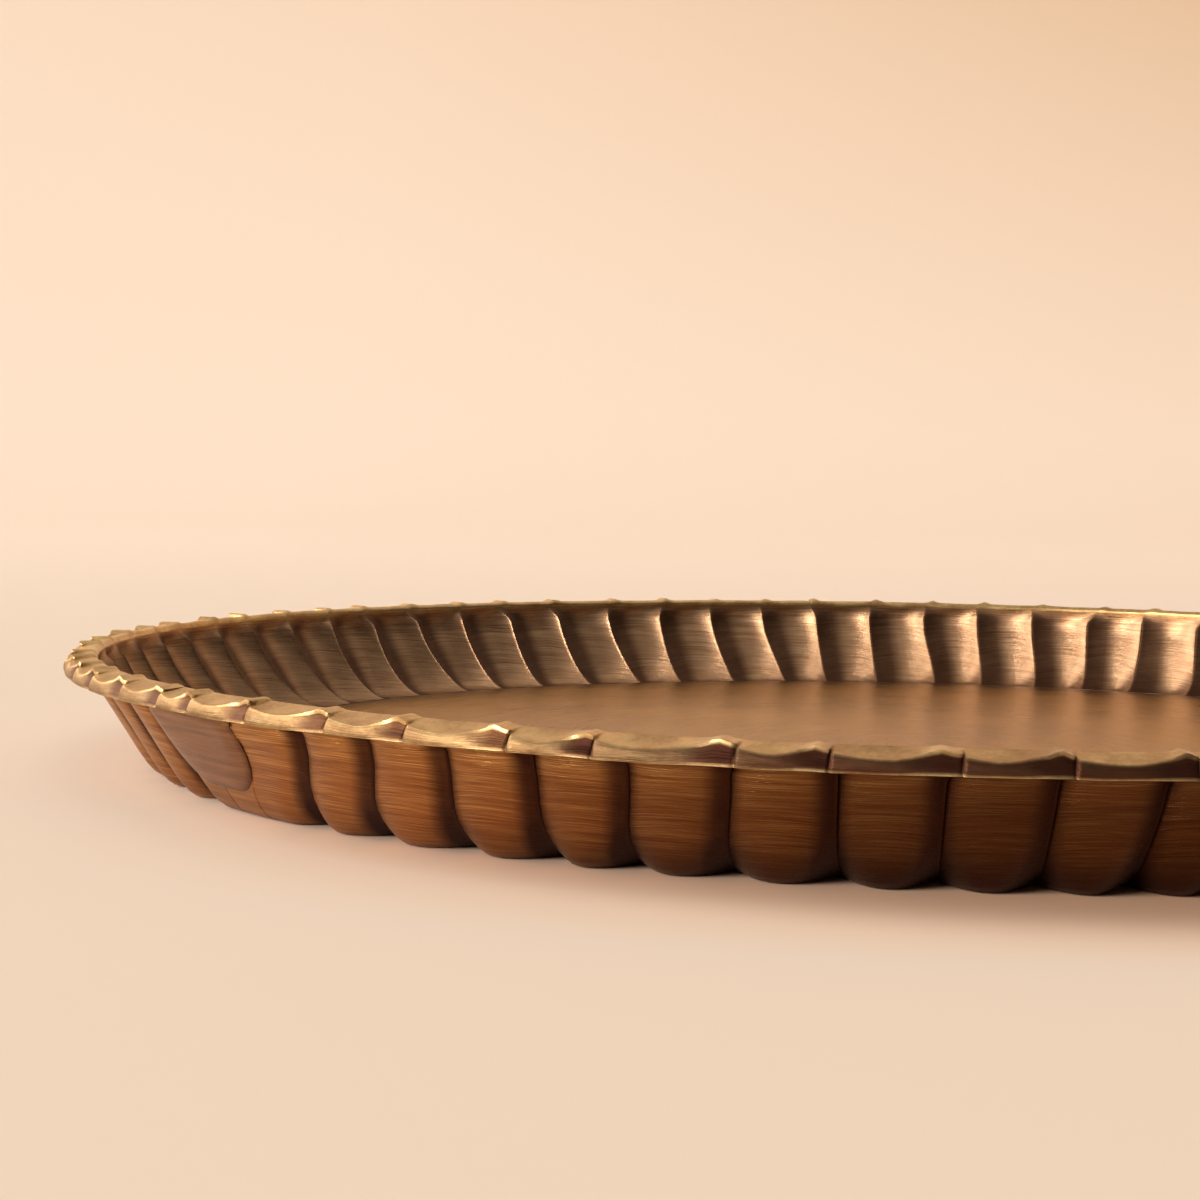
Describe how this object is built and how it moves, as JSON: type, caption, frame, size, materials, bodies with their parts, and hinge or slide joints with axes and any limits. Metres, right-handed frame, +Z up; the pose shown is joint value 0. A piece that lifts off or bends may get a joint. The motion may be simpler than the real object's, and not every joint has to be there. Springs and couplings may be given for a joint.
{
  "type": "serving tray",
  "caption": "Round shallow brass serving tray with a fluted wall, a crimped and turned edge, a flat floor and a strap over the joint of the wall.",
  "frame": {"origin": "centre of the tray on the plane that it stands on", "axes": "+Z up out of the tray, with the joint of the wall and its strap on -X"},
  "size_m": [0.36, 0.3598, 0.023],
  "materials": {
    "wall_brass": "antique brass, brushed along the wall, dark in the grooves and worn bright on the edge",
    "strap_brass": "antique brass, brushed along the wall",
    "floor_brass": "antique brass, brushed in rings",
    "wire_brass": "drawn wire, dull",
    "solder": "hard brass solder, dull and dark"
  },
  "bodies": {
    "root": {"fluted_wall": "wall_brass", "floor_disc": "floor_brass", "solder_fillet": "solder", "rim_wire": "wire_brass", "joint_strap": "strap_brass"}
  },
  "joints": []
}
